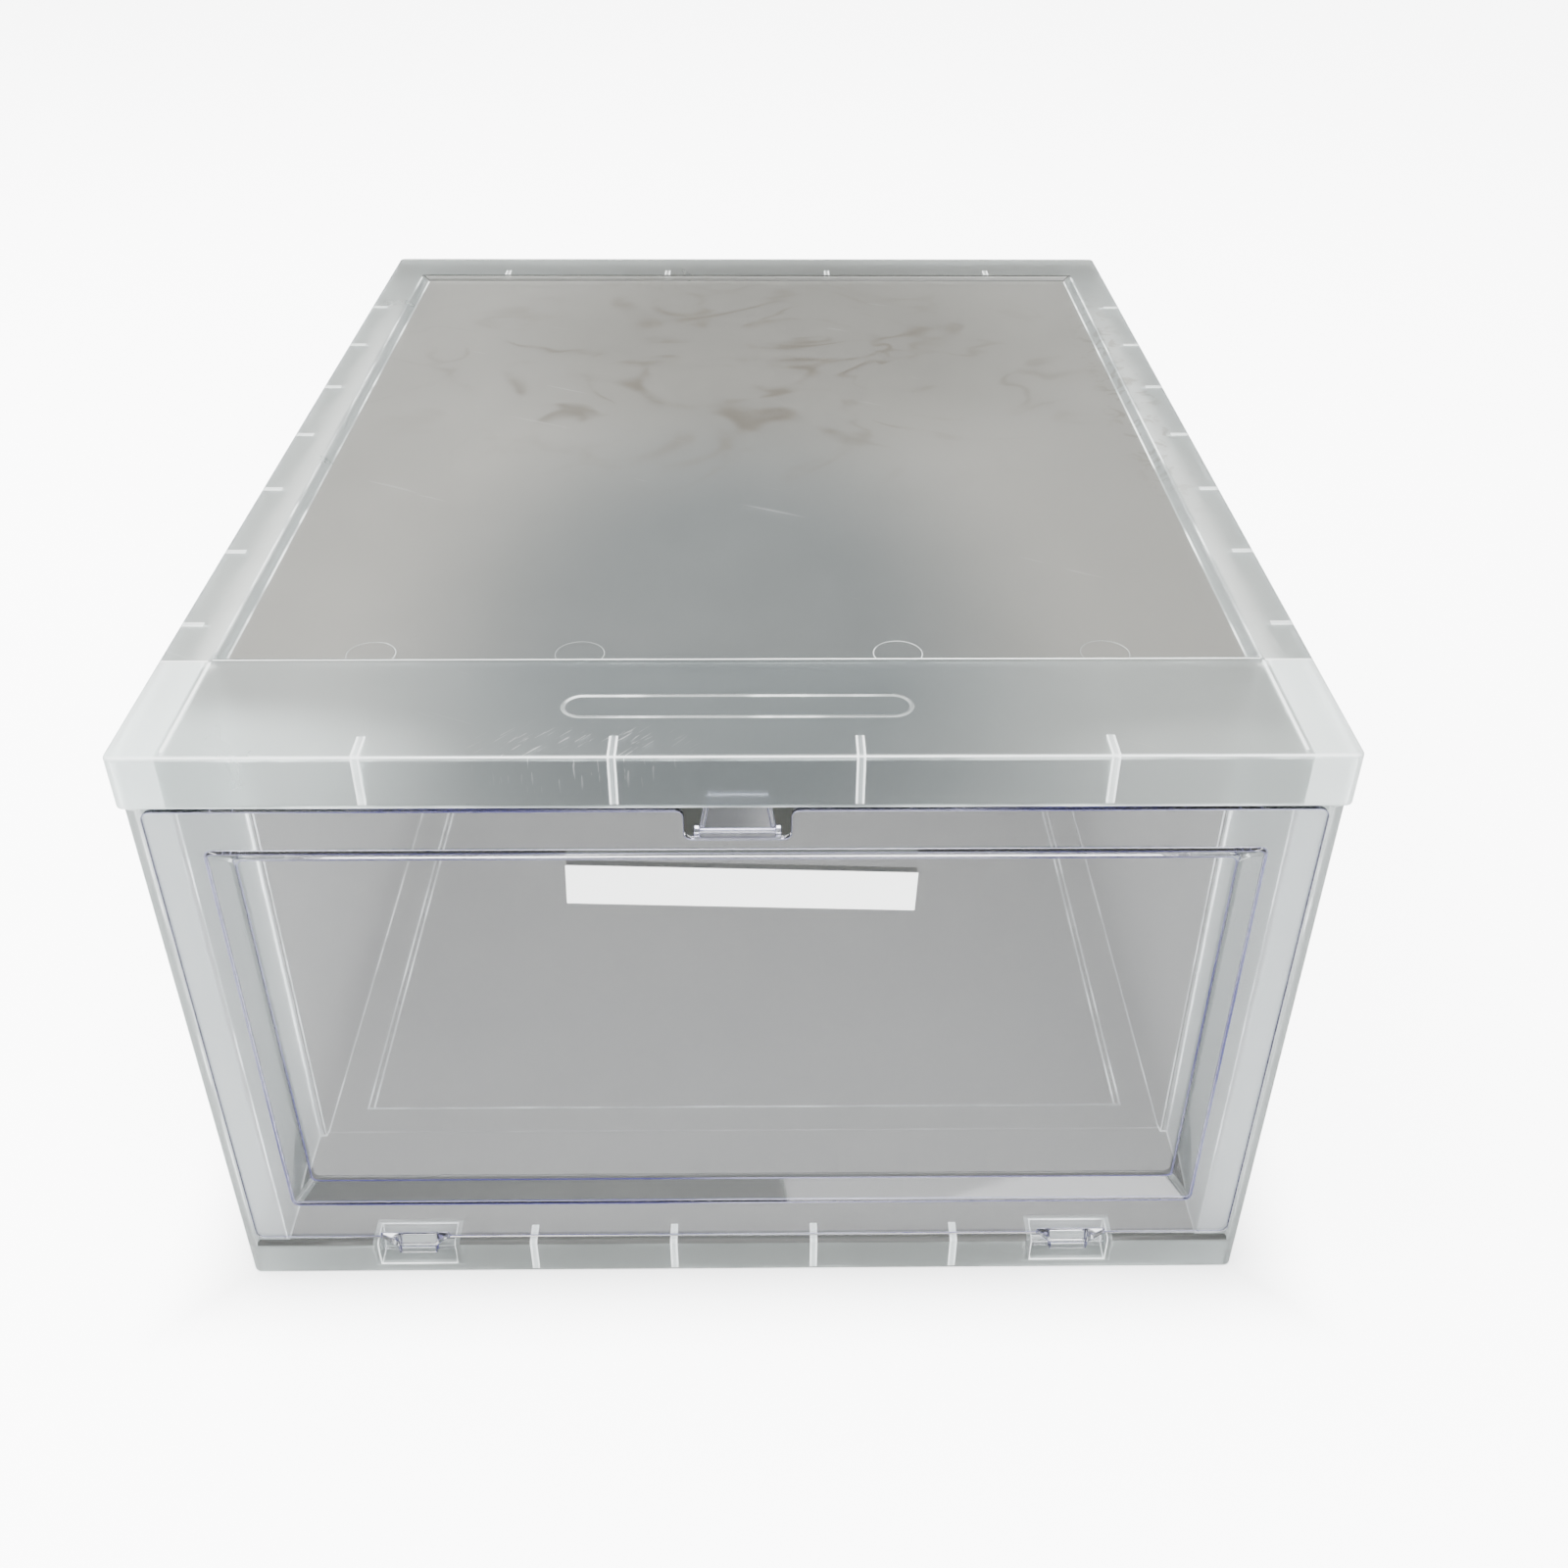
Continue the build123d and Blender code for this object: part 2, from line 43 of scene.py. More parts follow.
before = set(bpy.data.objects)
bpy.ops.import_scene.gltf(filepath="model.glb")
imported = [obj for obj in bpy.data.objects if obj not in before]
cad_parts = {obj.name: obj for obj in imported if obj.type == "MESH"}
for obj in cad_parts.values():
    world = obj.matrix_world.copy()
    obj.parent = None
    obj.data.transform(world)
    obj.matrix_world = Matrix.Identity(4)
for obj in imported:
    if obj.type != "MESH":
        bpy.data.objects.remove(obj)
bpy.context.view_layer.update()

# ---------------------------------------------------------------- places from the frame
MM = 0.001
LID_LOW, LID_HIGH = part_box("lid")
BASE_LOW, BASE_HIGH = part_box("base")
FRONT = LID_LOW.y                # the lid's front face
PILL_RISE = 0.3 * MM             # the bare outline on the front strip stands this far proud
RIM_TOP = LID_HIGH.z - PILL_RISE
PANEL_TOP = RIM_TOP - 2.0 * MM
STRIP = 42.5 * MM                # depth of the front strip, on the lid and on the floor
SILL_TOP = 12.0 * MM
FLOOR_TOP = 9.9 * MM

# ---------------------------------------------------------------- fins and webs behind the sheets
# the fins and webs behind the sheets are marked with painted light, and the strongest edges with a
# painted highlight line
FIN_LINE = 0.5 * MM              # a fin shows as two milky lines with a paler strip between
FIN_MARK = 2.0 * MM
EDGE_LINE = 0.5 * MM             # milky line beside the strongest edges
WEB_WALL = 1.5 * MM              # walls of the posts that stand inside the lid's rims
# fins' places are distances from the middle, or behind the front for the sides, in millimetres
HEADER_FINS = (27.6, 84.0)
HEADER_FIN_RUN = 8.3 * MM
SILL_FINS = (19.5, 58.5)
SILL_FIN_RUN = 7.0 * MM
BACK_FINS = (31.3, 93.9)
BACK_FIN_RUN = 6.0 * MM
SIDE_FIN_DEPTHS = [59.4 + 40.0 * i for i in range(7)]
SIDE_FIN_RUN = 6.0 * MM
RIM_BACK = 21.5 * MM
POST_INSIDE = 126.5 * MM         # half width of the opening between the front posts
FIN_SHORT = 1.0 * MM             # fins stop this far from a skirt's free edge

# ---------------------------------------------------------------- making the meshes
MERGE = 0.002 * MM               # loose corners nearer than this are one corner
THIN = 0.12 * MM                 # width of the base's narrowest faces, whose edges stay sharp
FLAT = math.radians(0.5)         # faces that meet at less than this are one face
SHARP = math.radians(28.0)       # edges that turn more than this are rounded
SMOOTH = math.radians(50.0)      # edges that turn less than this shade smoothly
# on the frosted pieces EDGE carries a painted highlight, BAND and SOFT painted light, and BROAD the
# darker painted shade of the lid's panel and of the inside
MAIN, EDGE, BAND, BROAD, SOFT = 0, 1, 2, 3, 4    # places of a piece's materials
DOOR_ROUND = 0.24 * MM           # how far the smaller pieces' edges are rounded
LATCH_ROUND = 0.18 * MM
LABEL_ROUND = 0.05 * MM

# ---------------------------------------------------------------- ejector rings
RING_PLACES = (-90.0, -39.0, 39.0, 90.0)    # from the middle, in millimetres
RING_DEPTH = FRONT + STRIP + 5.5 * MM
RING_CORNERS = 48

# ---------------------------------------------------------------- the broad sheets' faces
RIM_SIDE = 14.0 * MM             # width of the side rims with part of their slope
# faces in these boxes get darker colours, a painted shade: the lid's panel, and the floor and walls
# inside
PANEL_BOX = (Vector((LID_LOW.x + RIM_SIDE, FRONT + STRIP, PANEL_TOP - 2 * MM)),
             Vector((LID_HIGH.x - RIM_SIDE, LID_HIGH.y - RIM_BACK, PANEL_TOP + MM)))
FLOOR_BOX = (Vector((-POST_INSIDE, FRONT, FLOOR_TOP - 2 * MM)),
             Vector((POST_INSIDE, LID_HIGH.y - RIM_BACK, SILL_TOP + MM)))
WALL_INSIDE = 125.2 * MM         # just outside the side walls' inner faces
WALL_BOX = (Vector((-WALL_INSIDE, FRONT + STRIP - 3 * MM, FLOOR_TOP)),
            Vector((WALL_INSIDE, LID_HIGH.y - 2 * MM, RIM_TOP)))
POCKET_OUT = 91.0 * MM           # middle of a hinge pocket
POCKET_HALF = 12.0 * MM
POCKET_DEPTH = 9.5 * MM

# ---------------------------------------------------------------- plastics and paper
FROSTED_IOR, CLEAR_IOR = 1.42, 1.5
FROSTED_GRAIN, CLEAR_GRAIN = 1400.0, 70.0    # scales of the moulded grain
FROSTED_SPREAD, CLEAR_SPREAD = 0.14, 0.03    # how uneven the roughness is
# shares of a lamp's light that pass a face
FROSTED_PASS = (0.50, 0.52, 0.52)
CLEAR_PASS = (0.95, 0.95, 0.96)
CLEAR_EDGE_PASS = (0.85, 0.85, 0.92)
# the second tones that the surfaces drift to; the inside's and the panel's are dark for their
# painted shade, and the band's and the soft ones pale for painted light
BODY_HAZE = (0.56, 0.59, 0.58)
INNER_HAZE = (0.12, 0.12, 0.112)
PANEL_HAZE = (0.38, 0.373, 0.35)
BAND_HAZE = (1.0, 1.0, 1.0)
SOFT_TONE, SOFT_HAZE = (0.80, 0.85, 0.84), (0.90, 0.93, 0.92)
CLEAR_HAZE = (0.98, 0.98, 0.99)
PAPER_HAZE = (0.86, 0.86, 0.83)
LATCH_TONE = (0.90, 0.90, 0.98)
CLEAR_EDGE_PALE = (0.30, 0.295, 0.45)
# painted shade for the door's upright edges and for the step up to the lid's rear rim, in the next
# two colours
CLEAR_EDGE_UPRIGHT_SHADE = (0.03, 0.03, 0.045)
REAR_EDGE_SHADE = (0.07, 0.07, 0.065)
SCRATCH_TONE = (0.95, 0.96, 0.96)
# soft oval places of wear on the lid: centre and size
PUDDLE = ((0.0, FRONT + 0.245, PANEL_TOP), (0.15, 0.12, 0.02))
GRIME = ((LID_HIGH.x - 0.013, FRONT + 0.22, RIM_TOP), (0.012, 0.13, 0.01))
WORN = ((-0.036, FRONT + 0.004, RIM_TOP), (0.03, 0.012, 0.012))
# painted shade and painted light in soft ovals: a dark patch over the lid's front and middle, a
# dimmer back, a darker rear rim and lighter front corners; centre, size, amount, colour
LID_PAINTED_LIGHT_AND_SHADE = (
    ((-0.005, FRONT + 0.06, RIM_TOP), (0.10, 0.18, 0.06), 0.62, (0.08, 0.105, 0.122)),
    ((0.01, FRONT + 0.27, RIM_TOP), (0.13, 0.13, 0.06), 0.42, (0.13, 0.125, 0.11)),
    ((0.0, LID_HIGH.y - 0.008, RIM_TOP), (0.26, 0.03, 0.03), 0.42, (0.15, 0.148, 0.135)),
    ((LID_LOW.x + 0.015, FRONT, RIM_TOP), (0.07, 0.03, 0.04), 0.75, (0.86, 0.92, 0.91)),
    ((LID_HIGH.x - 0.03, FRONT, RIM_TOP), (0.05, 0.02, 0.03), 0.35, (0.74, 0.77, 0.75)),
)
# painted shade over the middle of the sill's front, in the same form
BASE_PAINTED_SHADE = (
    ((0.0, FRONT, SILL_TOP / 2), (0.17, 0.05, 0.03), 0.6, (0.18, 0.185, 0.175)),
)

# ---------------------------------------------------------------- light
FLOOR_GLOW = 6.0                 # light of the floor as the camera meets it
FLOOR_FILL = 3.0                 # and as it shows through the plastic
# painted shadow: the floor's glow is cut down under the box and comes back over a band around its
# outline
FLOOR_LEAST = 0.04               # share of that light that is left under the box
FLOOR_SHADE_IN = 12.0 * MM       # the floor's shade starts this far inside the box's outline
FLOOR_SHADE_OUT = 30.0 * MM      # and ends this far outside it
FLOOR_HALF = 4.0                 # half the floor's width
FLOOR_BELOW = 0.2 * MM           # the floor lies this far under the box
WORLD_FRONT, WORLD_BEHIND = 2.0, 0.9    # light of the surround, ahead of the box and behind it
BLACK, WHITE = (0.0, 0.0, 0.0, 1.0), (1.0, 1.0, 1.0, 1.0)
MIRROR_LEFT = 0.35               # share of floor and surround that is left in mirror images
# name, place, size, power, colour
LAMPS = (
    ("lamp_top", (-0.25, 0.10, 1.30), (1.6, 1.6), 70.0, (1.0, 0.99, 0.97)),
    ("lamp_front", (0.60, -1.30, 0.80), (1.2, 0.9), 34.0, (0.97, 0.98, 1.0)),
    ("lamp_left", (-1.30, -0.10, 0.60), (0.9, 0.9), 22.0, (1.0, 1.0, 1.0)),
)

# ---------------------------------------------------------------- camera
CAMERA_AT = Vector((6.1, -471.2, 372.3)) * MM
CAMERA_DOWN = math.radians(35.0)
CAMERA_RIGHT = math.radians(0.86)
CAMERA_ROLL = math.radians(-0.32)
CAMERA_LENS, CAMERA_SENSOR = 36.8, 36.0    # millimetres


# ================================================================ settings
class ShoeBoxSizes(bpy.types.PropertyGroup):
    """Sizes of the details that are added to the mouldings."""

    edge_round: bpy.props.FloatProperty(
        name="Edge Round", description="How far the mouldings' edges are rounded",
        default=0.3 * MM, min=0.0, unit="LENGTH", precision=5)
    ring_diameter: bpy.props.FloatProperty(
        name="Ring Diameter", description="Diameter of an ejector mark",
        default=12.0 * MM, min=0.0, unit="LENGTH", precision=5)
    ring_line: bpy.props.FloatProperty(
        name="Ring Line", description="Width of an ejector mark's line",
        default=0.22 * MM, min=0.0, unit="LENGTH", precision=5)
    ring_rise: bpy.props.FloatProperty(
        name="Ring Rise", description="How far an ejector mark stands proud",
        default=0.03 * MM, min=0.0, unit="LENGTH", precision=5)


class ShoeBoxColours(bpy.types.PropertyGroup):
    """Colours of the plastics and the paper."""

    frosted: bpy.props.FloatVectorProperty(
        name="Frosted", description="Colour of the frosted plastic", subtype="COLOR",
        default=(0.46, 0.49, 0.485), min=0.0, max=1.0)
    # painted shade: the lid's panel is the same frosted plastic, given a darker colour for the dim
    # inside under it
    broad: bpy.props.FloatVectorProperty(
        name="Panel", description="Colour of the lid's panel, over the dim inside",
        subtype="COLOR", default=(0.37, 0.363, 0.34), min=0.0, max=1.0)
    # painted shade: the floor and walls inside are the same frosted plastic, given this much darker
    # colour for the dim inside
    inner: bpy.props.FloatVectorProperty(
        name="Inside", description="Colour of the floor and walls seen through the door",
        subtype="COLOR", default=(0.085, 0.085, 0.08), min=0.0, max=1.0)
    # painted highlight: this pale colour marks the frosted plastic's rounded edges in patches, and
    # the painted light lines over fins, posts' walls and strong edges
    edge: bpy.props.FloatVectorProperty(
        name="Edge", description="Colour of the frosted plastic along its edges and in its fins",
        subtype="COLOR", default=(0.93, 0.96, 0.95), min=0.0, max=1.0)
    clear: bpy.props.FloatVectorProperty(
        name="Clear", description="Colour of the clear door", subtype="COLOR",
        default=(0.95, 0.955, 0.975), min=0.0, max=1.0)
    clear_edge: bpy.props.FloatVectorProperty(
        name="Clear Edge", description="Colour of the clear door along its edges", subtype="COLOR",
        default=(0.05, 0.045, 0.21), min=0.0, max=1.0)
    stain: bpy.props.FloatVectorProperty(
        name="Stain", description="Colour of dried water marks and grime", subtype="COLOR",
        default=(0.16, 0.14, 0.11), min=0.0, max=1.0)
    paper: bpy.props.FloatVectorProperty(
        name="Paper", description="Colour of the label", subtype="COLOR",
        default=(0.92, 0.93, 0.91), min=0.0, max=1.0)


# ================================================================ node helpers
def fill(tree, node, inputs):
    """Gives a node its inputs, each a value or a socket to link."""
    for name, value in inputs.items():
        if isinstance(value, bpy.types.NodeSocket):
            tree.links.new(value, node.inputs[name])
        else:
            node.inputs[name].default_value = value


def add(tree, kind, inputs=None, **settings):
    """A new node with its settings and its inputs."""
    node = tree.nodes.new(kind)
    for name, value in settings.items():
        setattr(node, name, value)
    fill(tree, node, inputs or {})
    return node


def maths(tree, operation, a, b=0.0, clamp=False):
    """The result of a Math node."""
    inputs = {0: a, 1: b}
    return add(tree, "ShaderNodeMath", inputs, operation=operation, use_clamp=clamp).outputs[0]


def mixed(tree, factor, a, b):
    """The result of mixing two colours."""
    first, second, result = 6, 7, 2
    node = add(tree, "ShaderNodeMix", {0: factor, first: a, second: b}, data_type="RGBA")
    return node.outputs[result]


def ramp(tree, value, low, high):
    """A value stretched so that low gives 0 and high gives 1, and held there."""
    inputs = {"Value": value, "From Min": low, "From Max": high}
    return add(tree, "ShaderNodeMapRange", inputs, interpolation_type="SMOOTHSTEP").outputs[0]


def rgba(colour):
    """A colour with its fourth number."""
    return (*colour, 1.0)


def placed(tree):
    """The piece's own coordinates."""
    return add(tree, "ShaderNodeTexCoord").outputs["Object"]


def noise(tree, vector, scale, detail=2.0, distortion=0.0):
    """The factor of a noise pattern."""
    inputs = {"Vector": vector, "Scale": scale, "Detail": detail, "Distortion": distortion}
    return add(tree, "ShaderNodeTexNoise", inputs).outputs[0]


def group(name, inputs, outputs):
    """A new shader node group, with its input and output nodes. Sockets are (name, type, value)."""
    tree = bpy.data.node_groups.new(name, "ShaderNodeTree")
    for label, kind, value in inputs:
        socket = tree.interface.new_socket(label, in_out="INPUT", socket_type=kind)
        socket.default_value = value
    for label, kind in outputs:
        tree.interface.new_socket(label, in_out="OUTPUT", socket_type=kind)
    return tree, tree.nodes.new("NodeGroupInput").outputs, tree.nodes.new("NodeGroupOutput").inputs


def effect(tree, name, inputs):
    """A shader node group placed in a material with its own values."""
    node = tree.nodes.new("ShaderNodeGroup")
    node.node_tree = bpy.data.node_groups[name]
    fill(tree, node, inputs)
    return node.outputs


# ================================================================ shared effects
def make_grain_group():
    """Fine moulded grain: an uneven roughness and a height."""
    tree, given, result = group(
        "Moulded Grain",
        [("Roughness", "NodeSocketFloat", 0.4), ("Spread", "NodeSocketFloat", 0.1),
         ("Scale", "NodeSocketFloat", 1500.0)],
        [("Roughness", "NodeSocketFloat"), ("Height", "NodeSocketFloat")])
    where = placed(tree)
    fine = noise(tree, where, given["Scale"], detail=3.0)
    broad = noise(tree, where, 28.0, detail=4.0, distortion=0.6)
    offset = maths(tree, "MULTIPLY", maths(tree, "SUBTRACT", broad, 0.5), given["Spread"])
    tree.links.new(maths(tree, "ADD", given["Roughness"], offset, clamp=True), result["Roughness"])
    tree.links.new(fine, result["Height"])


def make_haze_group():
    """Cloudiness of handled plastic: two colours that drift into each other, and dust specks."""
    tree, given, result = group(
        "Handling Haze",
        [("Colour", "NodeSocketColor", (0.7, 0.7, 0.7, 1.0)),
         ("Haze", "NodeSocketColor", (0.8, 0.8, 0.8, 1.0)),
         ("Amount", "NodeSocketFloat", 0.5), ("Scale", "NodeSocketFloat", 9.0)],
        [("Colour", "NodeSocketColor")])
    where = placed(tree)
    cloud = ramp(tree, noise(tree, where, given["Scale"], detail=6.0, distortion=1.2), 0.35, 0.7)
    speck = ramp(tree, noise(tree, where, 620.0, detail=1.0), 0.72, 0.8)
    both = maths(tree, "MAXIMUM", cloud, speck)
    share = maths(tree, "MULTIPLY", both, given["Amount"])
    tree.links.new(mixed(tree, share, given["Colour"], given["Haze"]), result["Colour"])


def make_spot_group():
    """A soft oval spot: 1 at its centre and 0 at its edge."""
    tree, given, result = group(
        "Soft Spot",
        [("Centre", "NodeSocketVector", (0.0, 0.0, 0.0)),
         ("Size", "NodeSocketVector", (1.0, 1.0, 1.0))],
        [("Mask", "NodeSocketFloat")])
    away = add(tree, "ShaderNodeVectorMath", {0: placed(tree), 1: given["Centre"]},
               operation="SUBTRACT")
    scaled = add(tree, "ShaderNodeVectorMath", {0: away.outputs[0], 1: given["Size"]},
                 operation="DIVIDE")
    length = add(tree, "ShaderNodeVectorMath", {0: scaled.outputs[0]}, operation="LENGTH")
    tree.links.new(ramp(tree, length.outputs["Value"], 1.0, 0.35), result["Mask"])


def make_watermark_group():
    """Rims of dried puddles: thin curling lines where a distorted noise crosses its middle."""
    tree, given, result = group(
        "Water Marks",
        [("Scale", "NodeSocketFloat", 14.0), ("Line", "NodeSocketFloat", 0.03)],
        [("Mask", "NodeSocketFloat")])
    level = noise(tree, placed(tree), given["Scale"], detail=1.5, distortion=2.2)
    away = maths(tree, "ABSOLUTE", maths(tree, "SUBTRACT", level, 0.5))
    line = ramp(tree, away, given["Line"], 0.0)
    broken = ramp(tree, noise(tree, placed(tree), 45.0, detail=3.0), 0.4, 0.62)
    tree.links.new(maths(tree, "MULTIPLY", line, broken), result["Mask"])


def make_scuff_group():
    """Scuffs: short fine scratches that run one way."""
    tree, given, result = group(
        "Scuffs",
        [("Turn", "NodeSocketFloat", 0.6), ("Scale", "NodeSocketFloat", 60.0),
         ("Amount", "NodeSocketFloat", 0.5)],
        [("Mask", "NodeSocketFloat")])
    turned = add(tree, "ShaderNodeVectorRotate", {"Vector": placed(tree), "Angle": given["Turn"]},
                 rotation_type="Z_AXIS")
    drawn = add(tree, "ShaderNodeVectorMath", {0: turned.outputs[0], 1: (14.0, 1.0, 1.0)},
                operation="MULTIPLY")
    lines = noise(tree, drawn.outputs[0], given["Scale"], detail=2.0)
    bound = maths(tree, "SUBTRACT", 0.78, maths(tree, "MULTIPLY", given["Amount"], 0.2))
    mask = ramp(tree, maths(tree, "SUBTRACT", lines, bound), 0.0, 0.04)
    tree.links.new(mask, result["Mask"])


# ================================================================ materials
def new_material(name):
    """An empty material with its output node."""
    material = bpy.data.materials.new(name)
    material.use_nodes = True
    material.node_tree.nodes.clear()
    return material, material.node_tree


def finish_surface(tree, shader, let_through):
    """Links a shader to the output, and lets lamps shine through it by a share of their light."""
    output = add(tree, "ShaderNodeOutputMaterial")
    gap = add(tree, "ShaderNodeBsdfTransparent", {"Color": rgba(let_through)})
    path = add(tree, "ShaderNodeLightPath")
    both = add(tree, "ShaderNodeMixShader",
               {0: path.outputs["Is Shadow Ray"], 1: shader.outputs[0], 2: gap.outputs[0]})
    tree.links.new(both.outputs[0], output.inputs["Surface"])


def bump(tree, height, strength, distance):
    """The normal of a Bump node."""
    inputs = {"Height": height, "Strength": strength, "Distance": distance}
    return add(tree, "ShaderNodeBump", inputs).outputs[0]


def spot(tree, centre, size):
    """The mask of a soft oval spot."""
    return effect(tree, "Soft Spot", {"Centre": centre, "Size": size})["Mask"]


def tone_with_painted_light(tree, tone, painted_spots):
    """A tone with painted shade and painted light in soft ovals: each is a centre, a size, an
    amount and a colour.
    """
    for centre, size, amount, colour in painted_spots:
        mask = spot(tree, centre, size)
        tone = mixed(tree, maths(tree, "MULTIPLY", mask, amount), tone, rgba(colour))
    return tone


def frosted_material(name, colour, haze, roughness, clearness, painted_spots=(), dirt=False):
    """Frosted polypropylene: rough, milky, a little cloudy from handling, with painted shade and
    painted light in places.
    """
    material, tree = new_material(name)
    colours = bpy.context.scene.shoe_box_colours
    grain = effect(tree, "Moulded Grain", {"Roughness": roughness, "Spread": FROSTED_SPREAD,
                                           "Scale": FROSTED_GRAIN})
    tone = effect(tree, "Handling Haze", {"Colour": rgba(colour), "Haze": rgba(haze),
                                          "Amount": 0.35, "Scale": 8.0})["Colour"]
    tone = tone_with_painted_light(tree, tone, painted_spots)
    rough = grain["Roughness"]
    if dirt:
        tone, rough = dirty_lid(tree, tone, rough, colours.stain)
    shader = add(tree, "ShaderNodeBsdfPrincipled", {
        "Base Color": tone, "Roughness": rough, "IOR": FROSTED_IOR,
        "Transmission Weight": clearness,
        "Normal": bump(tree, grain["Height"], 0.05, 0.05 * MM)})
    finish_surface(tree, shader, FROSTED_PASS)
    return material


def frosted_edge_material(name, colour, pale):
    """The frosted plastic's rounded edges: a painted highlight paler in patches, otherwise like the
    sheet, and a painted shade at the step up to the rear rim.
    """
    material, tree = new_material(name)
    where = placed(tree)
    grain = effect(tree, "Moulded Grain", {"Roughness": 0.30, "Spread": FROSTED_SPREAD,
                                           "Scale": FROSTED_GRAIN})
    # painted highlight: the edges turn pale in patches
    edge_highlight = ramp(tree, noise(tree, where, 34.0, detail=4.0, distortion=0.7), 0.42, 0.62)
    tone = mixed(tree, edge_highlight, rgba(colour), rgba(pale))
    part = add(tree, "ShaderNodeSeparateXYZ", {"Vector": where}).outputs
    # painted shade: a dark line along the edges at the step up to the rear rim
    from_rear = maths(tree, "ABSOLUTE", maths(tree, "SUBTRACT", part["Y"], LID_HIGH.y - RIM_BACK))
    shaded_side = maths(tree, "MULTIPLY", ramp(tree, from_rear, 2.5 * MM, 1.2 * MM),
                        ramp(tree, part["Z"], PANEL_TOP - 3 * MM, PANEL_TOP - MM))
    tone = mixed(tree, shaded_side, tone, rgba(REAR_EDGE_SHADE))
    shader = add(tree, "ShaderNodeBsdfPrincipled", {
        "Base Color": tone, "Roughness": grain["Roughness"], "IOR": FROSTED_IOR,
        "Transmission Weight": maths(tree, "SUBTRACT", 0.72, maths(tree, "MULTIPLY", edge_highlight, 0.30)),
        "Normal": bump(tree, grain["Height"], 0.12, 0.05 * MM)})
    finish_surface(tree, shader, FROSTED_PASS)
    return material


def dirty_lid(tree, tone, rough, stain):
    """Water marks at the panel's back, grime on the right rim and scuffs on the front strip."""
    marks = effect(tree, "Water Marks", {"Scale": 15.0, "Line": 0.05})["Mask"]
    wet = maths(tree, "MULTIPLY", maths(tree, "MULTIPLY", marks, spot(tree, *PUDDLE)), 0.8)
    tone = mixed(tree, wet, tone, rgba(stain))
    rim = spot(tree, *GRIME)
    flecks = ramp(tree, noise(tree, placed(tree), 190.0, detail=4.0, distortion=0.8), 0.52, 0.62)
    tone = mixed(tree, maths(tree, "MULTIPLY", maths(tree, "MULTIPLY", flecks, rim), 0.55),
                 tone, rgba(stain))
    worn = spot(tree, *WORN)
    scuffs = effect(tree, "Scuffs", {"Turn": 0.7, "Scale": 120.0, "Amount": 0.8})["Mask"]
    light = effect(tree, "Scuffs", {"Turn": -1.1, "Scale": 22.0, "Amount": 0.25})["Mask"]
    scratched = maths(tree, "MAXIMUM", maths(tree, "MULTIPLY", scuffs, worn),
                      maths(tree, "MULTIPLY", light, 0.25))
    tone = mixed(tree, maths(tree, "MULTIPLY", scratched, 0.8), tone, rgba(SCRATCH_TONE))
    return tone, maths(tree, "ADD", rough, maths(tree, "MULTIPLY", scratched, 0.1), clamp=True)


def clear_material(name, colour, roughness):
    """Clear polystyrene with faint rub marks."""
    material, tree = new_material(name)
    grain = effect(tree, "Moulded Grain", {"Roughness": roughness, "Spread": CLEAR_SPREAD,
                                           "Scale": CLEAR_GRAIN})
    rubs = effect(tree, "Scuffs", {"Turn": 0.9, "Scale": 30.0, "Amount": 0.15})["Mask"]
    rough = maths(tree, "ADD", grain["Roughness"], maths(tree, "MULTIPLY", rubs, 0.12), clamp=True)
    tone = effect(tree, "Handling Haze", {"Colour": rgba(colour), "Haze": rgba(CLEAR_HAZE),
                                          "Amount": 0.3, "Scale": 12.0})["Colour"]
    shader = add(tree, "ShaderNodeBsdfPrincipled", {
        "Base Color": tone, "Roughness": rough, "IOR": CLEAR_IOR, "Transmission Weight": 1.0,
        "Normal": bump(tree, grain["Height"], 0.02, 0.02 * MM)})
    finish_surface(tree, shader, CLEAR_PASS)
    return material


def clear_edge_material(name, deep, pale):
    """The door's edges, where the clear plastic is seen along its depth: lilac to indigo, and
    nearly black where they run upright, a painted shade."""
    material, tree = new_material(name)
    drift = ramp(tree, noise(tree, placed(tree), 11.0, detail=1.0, distortion=0.3), 0.42, 0.62)
    tone = mixed(tree, drift, rgba(deep), rgba(pale))
    facing = add(tree, "ShaderNodeTexCoord").outputs["Normal"]
    part = add(tree, "ShaderNodeSeparateXYZ", {"Vector": facing}).outputs
    # painted shade: edges that run upright are darkened nearly to black
    upright = ramp(tree, maths(tree, "ABSOLUTE", part["X"]), 0.3, 0.6)
    tone = mixed(tree, upright, tone, rgba(CLEAR_EDGE_UPRIGHT_SHADE))
    rough = maths(tree, "ADD", maths(tree, "MULTIPLY", drift, 0.12), 0.08)
    passing = maths(tree, "SUBTRACT", 0.7, maths(tree, "MULTIPLY", upright, 0.35))
    shader = add(tree, "ShaderNodeBsdfPrincipled", {
        "Base Color": tone, "Roughness": rough, "IOR": CLEAR_IOR, "Transmission Weight": passing})
    finish_surface(tree, shader, CLEAR_EDGE_PASS)
    return material


def paper_material(name, colour):
    """Matt label paper with fine fibres."""
    material, tree = new_material(name)
    fibres = noise(tree, placed(tree), 900.0, detail=5.0, distortion=1.5)
    tone = effect(tree, "Handling Haze", {"Colour": rgba(colour), "Haze": rgba(PAPER_HAZE),
                                          "Amount": 0.3, "Scale": 40.0})["Colour"]
    shader = add(tree, "ShaderNodeBsdfPrincipled", {
        "Base Color": tone, "Roughness": ramp(tree, fibres, -0.6, 0.9),
        "Specular IOR Level": 0.3, "Normal": bump(tree, fibres, 0.25, 0.02 * MM)})
    output = add(tree, "ShaderNodeOutputMaterial")
    tree.links.new(shader.outputs[0], output.inputs["Surface"])
    return material


